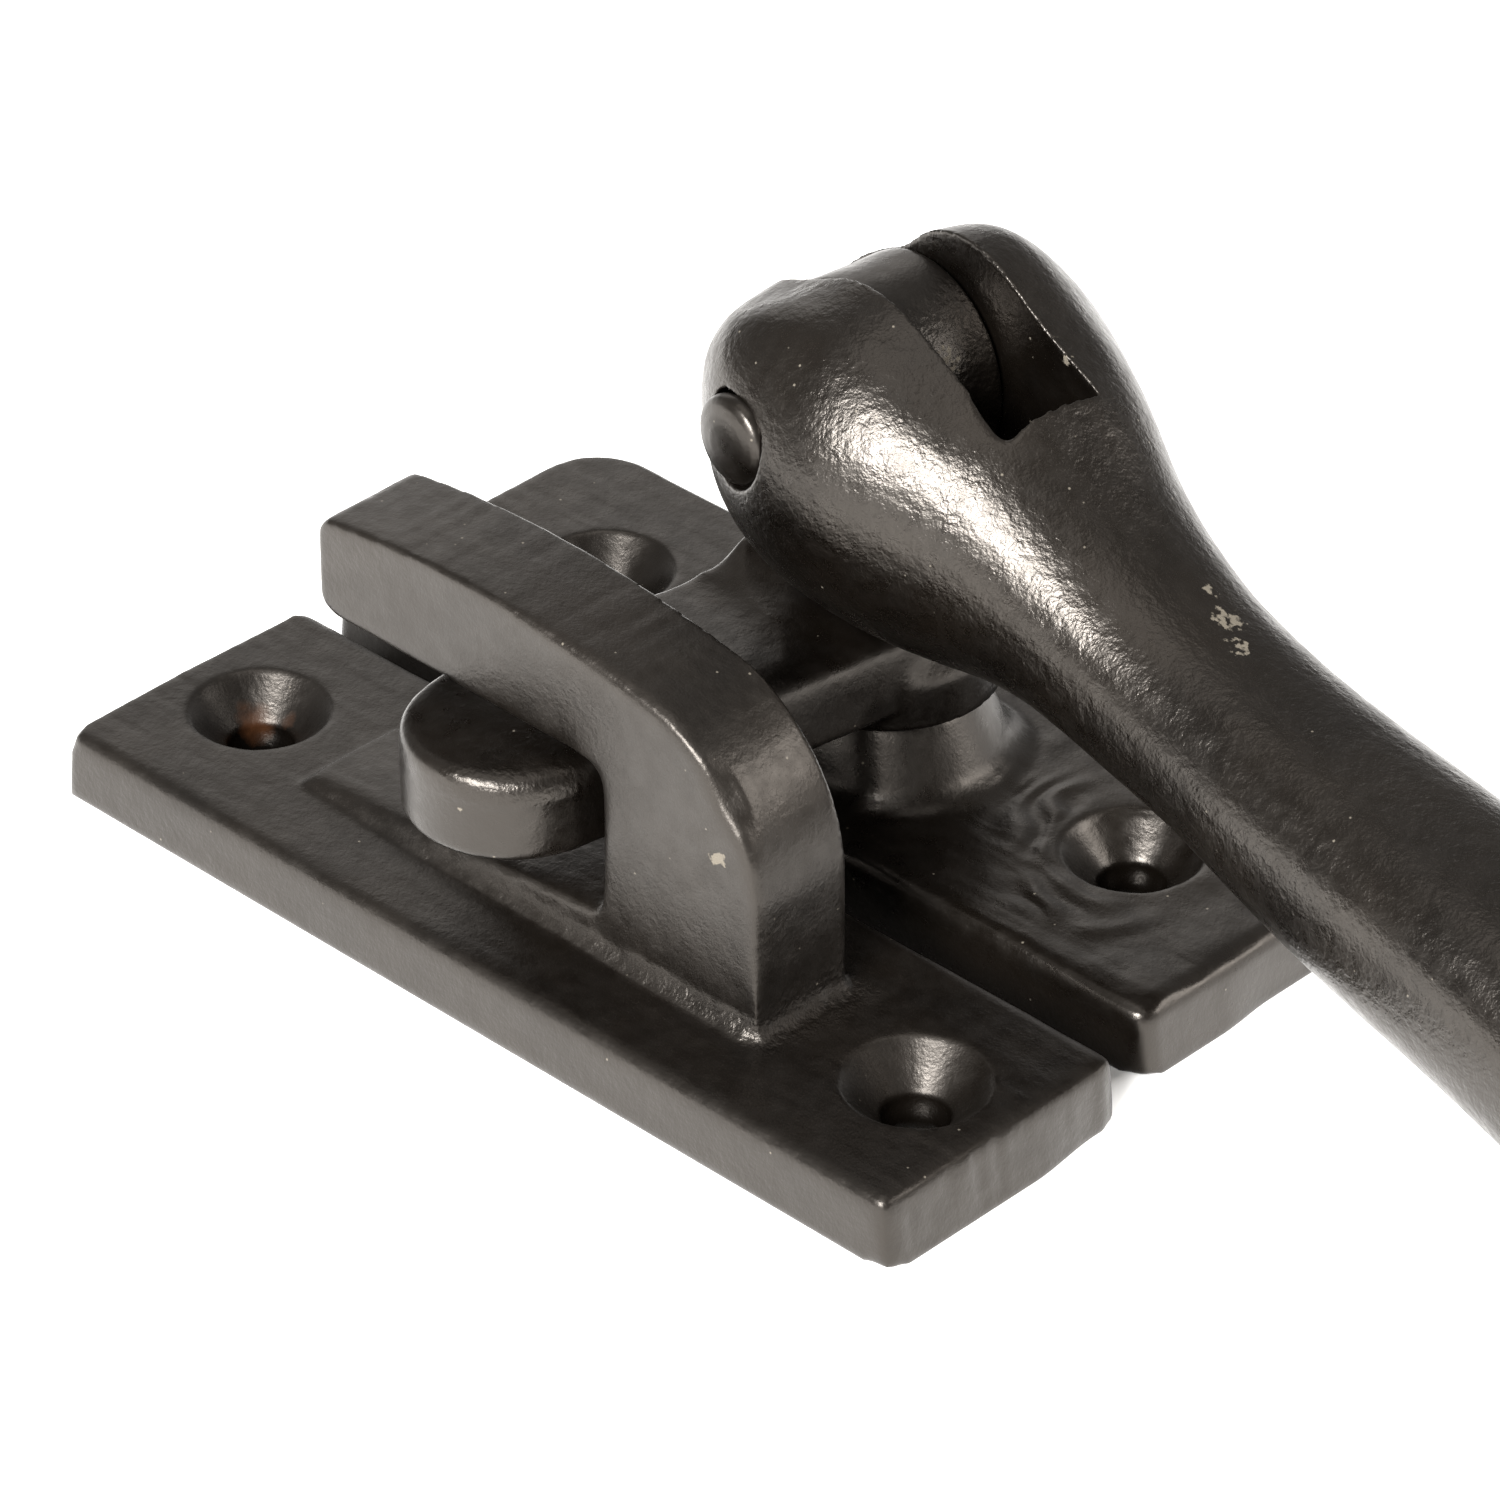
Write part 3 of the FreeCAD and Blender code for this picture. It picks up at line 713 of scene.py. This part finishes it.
def plain_steel(name):
    """Bare steel for the two hidden washers."""
    material = bpy.data.materials.new(name)
    material.use_nodes = True
    nodes, links = material.node_tree.nodes, material.node_tree.links
    shader = nodes["Principled BSDF"]
    shader.inputs["Base Color"].default_value = STEEL
    shader.inputs["Metallic"].default_value = 1.0
    place = nodes.new("ShaderNodeTexCoord")
    noise = nodes.new("ShaderNodeTexNoise")
    noise.inputs["Scale"].default_value = 1200
    links.new(place.outputs["Object"], noise.inputs["Vector"])
    rough = nodes.new("ShaderNodeMapRange")
    rough.inputs["To Min"].default_value = 0.3
    rough.inputs["To Max"].default_value = 0.55
    links.new(noise.outputs["Fac"], rough.inputs["Value"])
    links.new(rough.outputs["Result"], shader.inputs["Roughness"])
    return material


def coated(piece, material):
    """Put one material all over a piece."""
    piece.data.materials.clear()
    piece.data.materials.append(material)
    for polygon in piece.data.polygons:
        polygon.material_index = 0


coated(hook_plate, painted_iron("hook_plate_paint", 0.32, 0.42, 0.028))
coated(mounting_plate, painted_iron("mounting_plate_paint", 0.26, 0.36, 0.018))
coated(nose, painted_iron("nose_paint", 0.27, 0.37, 0.022))
coated(handle, painted_iron("handle_paint", 0.25, 0.34, 0.046))
coated(rivet, painted_iron("rivet_paint", 0.27, 0.35, 0.01))
steel = plain_steel("washer_steel")
for washer in ("spring_washer", "retaining_washer"):
    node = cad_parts[washer]
    node.data.materials.clear()
    node.data.materials.append(steel)


# ---------------------------------------------------------------- floor, light and camera

FLOOR_HALF = 3.0                # half of its side, in metres
FLOOR_GAP = 0.02                # millimetres, under the plates
SHADE_EDGE = 2.5                # millimetres, over which the floor's own light fades out

floor_mesh = bpy.data.meshes.new("floor")
floor_mesh.from_pydata(
    [(-FLOOR_HALF, -FLOOR_HALF, 0), (FLOOR_HALF, -FLOOR_HALF, 0),
     (FLOOR_HALF, FLOOR_HALF, 0), (-FLOOR_HALF, FLOOR_HALF, 0)], [], [(0, 1, 2, 3)])
floor = bpy.data.objects.new("floor", floor_mesh)
floor.location.z = -FLOOR_GAP * MM
bpy.context.scene.collection.objects.link(floor)
white = bpy.data.materials.new("floor_white")
white.use_nodes = True
white_shader = white.node_tree.nodes["Principled BSDF"]
white_shader.inputs["Base Color"].default_value = (0.88, 0.88, 0.87, 1)
white_shader.inputs["Emission Color"].default_value = (1.0, 0.98, 0.96, 1)
white_shader.inputs["Roughness"].default_value = 0.9
white_shader.inputs["Specular IOR Level"].default_value = 0.1
floor_mesh.materials.append(white)


def light_table(low, high):
    """Light from the floor itself, except in the rectangle under and between the plates."""
    nodes, links = white.node_tree.nodes, white.node_tree.links
    place = nodes.new("ShaderNodeTexCoord")
    split = nodes.new("ShaderNodeSeparateXYZ")
    links.new(place.outputs["Object"], split.inputs["Vector"])
    outside = None
    for axis, edges in enumerate(zip(low, high)):
        middle, half = (edges[0] + edges[1]) / 2 * MM, (edges[1] - edges[0]) / 2 * MM
        offset = nodes.new("ShaderNodeMath")
        offset.operation = "SUBTRACT"
        offset.inputs[1].default_value = middle
        links.new(split.outputs[axis], offset.inputs[0])
        size = nodes.new("ShaderNodeMath")
        size.operation = "ABSOLUTE"
        links.new(offset.outputs[0], size.inputs[0])
        beyond = nodes.new("ShaderNodeMapRange")
        beyond.inputs["From Min"].default_value = half - SHADE_EDGE * MM
        beyond.inputs["From Max"].default_value = half
        links.new(size.outputs[0], beyond.inputs["Value"])
        if outside is None:
            outside = beyond.outputs["Result"]
        else:
            both = nodes.new("ShaderNodeMath")
            both.operation = "MAXIMUM"
            links.new(outside, both.inputs[0])
            links.new(beyond.outputs["Result"], both.inputs[1])
            outside = both.outputs[0]
    links.new(outside, white_shader.inputs["Emission Strength"])


light_table(PLATES_LOW, PLATES_HIGH)


# Soft key light, from the front and above (metres and watts)
KEY_TOWARD = Vector((0.212, -0.791, 0.574)).normalized()
KEY_DISTANCE = 0.9
KEY_SIZE = 0.38
KEY_POWER = 21
MIDDLE = Vector((0.005, -0.01, 0.015))

key = bpy.data.lights.new("key", "AREA")
key.shape = "RECTANGLE"
key.size = KEY_SIZE
key.size_y = KEY_SIZE
key.energy = KEY_POWER
key_lamp = bpy.data.objects.new("key", key)
key_lamp.location = MIDDLE + KEY_TOWARD * KEY_DISTANCE
key_lamp.rotation_mode = "QUATERNION"
key_lamp.rotation_quaternion = KEY_TOWARD.to_track_quat("Z", "Y")
bpy.context.scene.collection.objects.link(key_lamp)

# Glows in the surroundings: azimuth from -Y toward +X, elevation, half width, strength
GLOWS = (
    (234, 27, 21, 1.0),         # back left
    (130, 25, 21, 6.2),         # back right
    (0, 90, 26, 1.2),           # overhead
    (42, 30, 12, 3.0))          # front right


def studio_world():
    """Pale low down all round and dim above, with the glows added."""
    world = bpy.data.worlds.new("studio")
    world.use_nodes = True
    nodes, links = world.node_tree.nodes, world.node_tree.links
    place = nodes.new("ShaderNodeTexCoord")
    split = nodes.new("ShaderNodeSeparateXYZ")
    links.new(place.outputs["Generated"], split.inputs["Vector"])

    def smooth(source, low, high, first, last):
        node = nodes.new("ShaderNodeMapRange")
        node.interpolation_type = "SMOOTHSTEP"
        node.inputs["From Min"].default_value = low
        node.inputs["From Max"].default_value = high
        node.inputs["To Min"].default_value = first
        node.inputs["To Max"].default_value = last
        links.new(source, node.inputs["Value"])
        return node.outputs["Result"]

    def glow(azimuth, elevation, half_width, strength):
        """Light from one direction; angles in degrees."""
        around, over = math.radians(azimuth), math.radians(elevation)
        node = nodes.new("ShaderNodeVectorMath")
        node.operation = "DOT_PRODUCT"
        node.inputs[1].default_value = (
            math.sin(around) * math.cos(over), -math.cos(around) * math.cos(over), math.sin(over))
        links.new(place.outputs["Generated"], node.inputs[0])
        edge = math.cos(math.radians(half_width))
        return smooth(node.outputs["Value"], edge, 1.0, 0, strength)

    total = smooth(split.outputs["Z"], -0.05, 0.25, 1.1, 0.30)
    for source in [glow(*values) for values in GLOWS]:
        node = nodes.new("ShaderNodeMath")
        node.operation = "ADD"
        links.new(total, node.inputs[0])
        links.new(source, node.inputs[1])
        total = node.outputs[0]
    background = nodes["Background"]
    background.inputs["Color"].default_value = (1.0, 0.97, 0.94, 1)
    links.new(total, background.inputs["Strength"])
    return world


bpy.context.scene.world = studio_world()
bpy.context.scene.view_settings.view_transform = "Standard"

# Camera: where it stands from the object (from -Y toward +X, and over it), its place in metres
# and its lens
AZIMUTH, ELEVATION = math.radians(44.13), math.radians(33.91)
CAMERA_PLACE = (0.23189, -0.24775, 0.22919)
CAMERA_LENS = 181.23

camera_data = bpy.data.cameras.new("camera")
camera = bpy.data.objects.new("camera", camera_data)
bpy.context.scene.collection.objects.link(camera)
camera_data.sensor_width = 36
camera_data.lens = CAMERA_LENS
camera_data.clip_start = 0.02
back = Vector((
    math.sin(AZIMUTH) * math.cos(ELEVATION),
    -math.cos(AZIMUTH) * math.cos(ELEVATION),
    math.sin(ELEVATION)))
camera.location = CAMERA_PLACE
camera.rotation_mode = "QUATERNION"
camera.rotation_quaternion = back.to_track_quat("Z", "Y")
bpy.context.scene.camera = camera
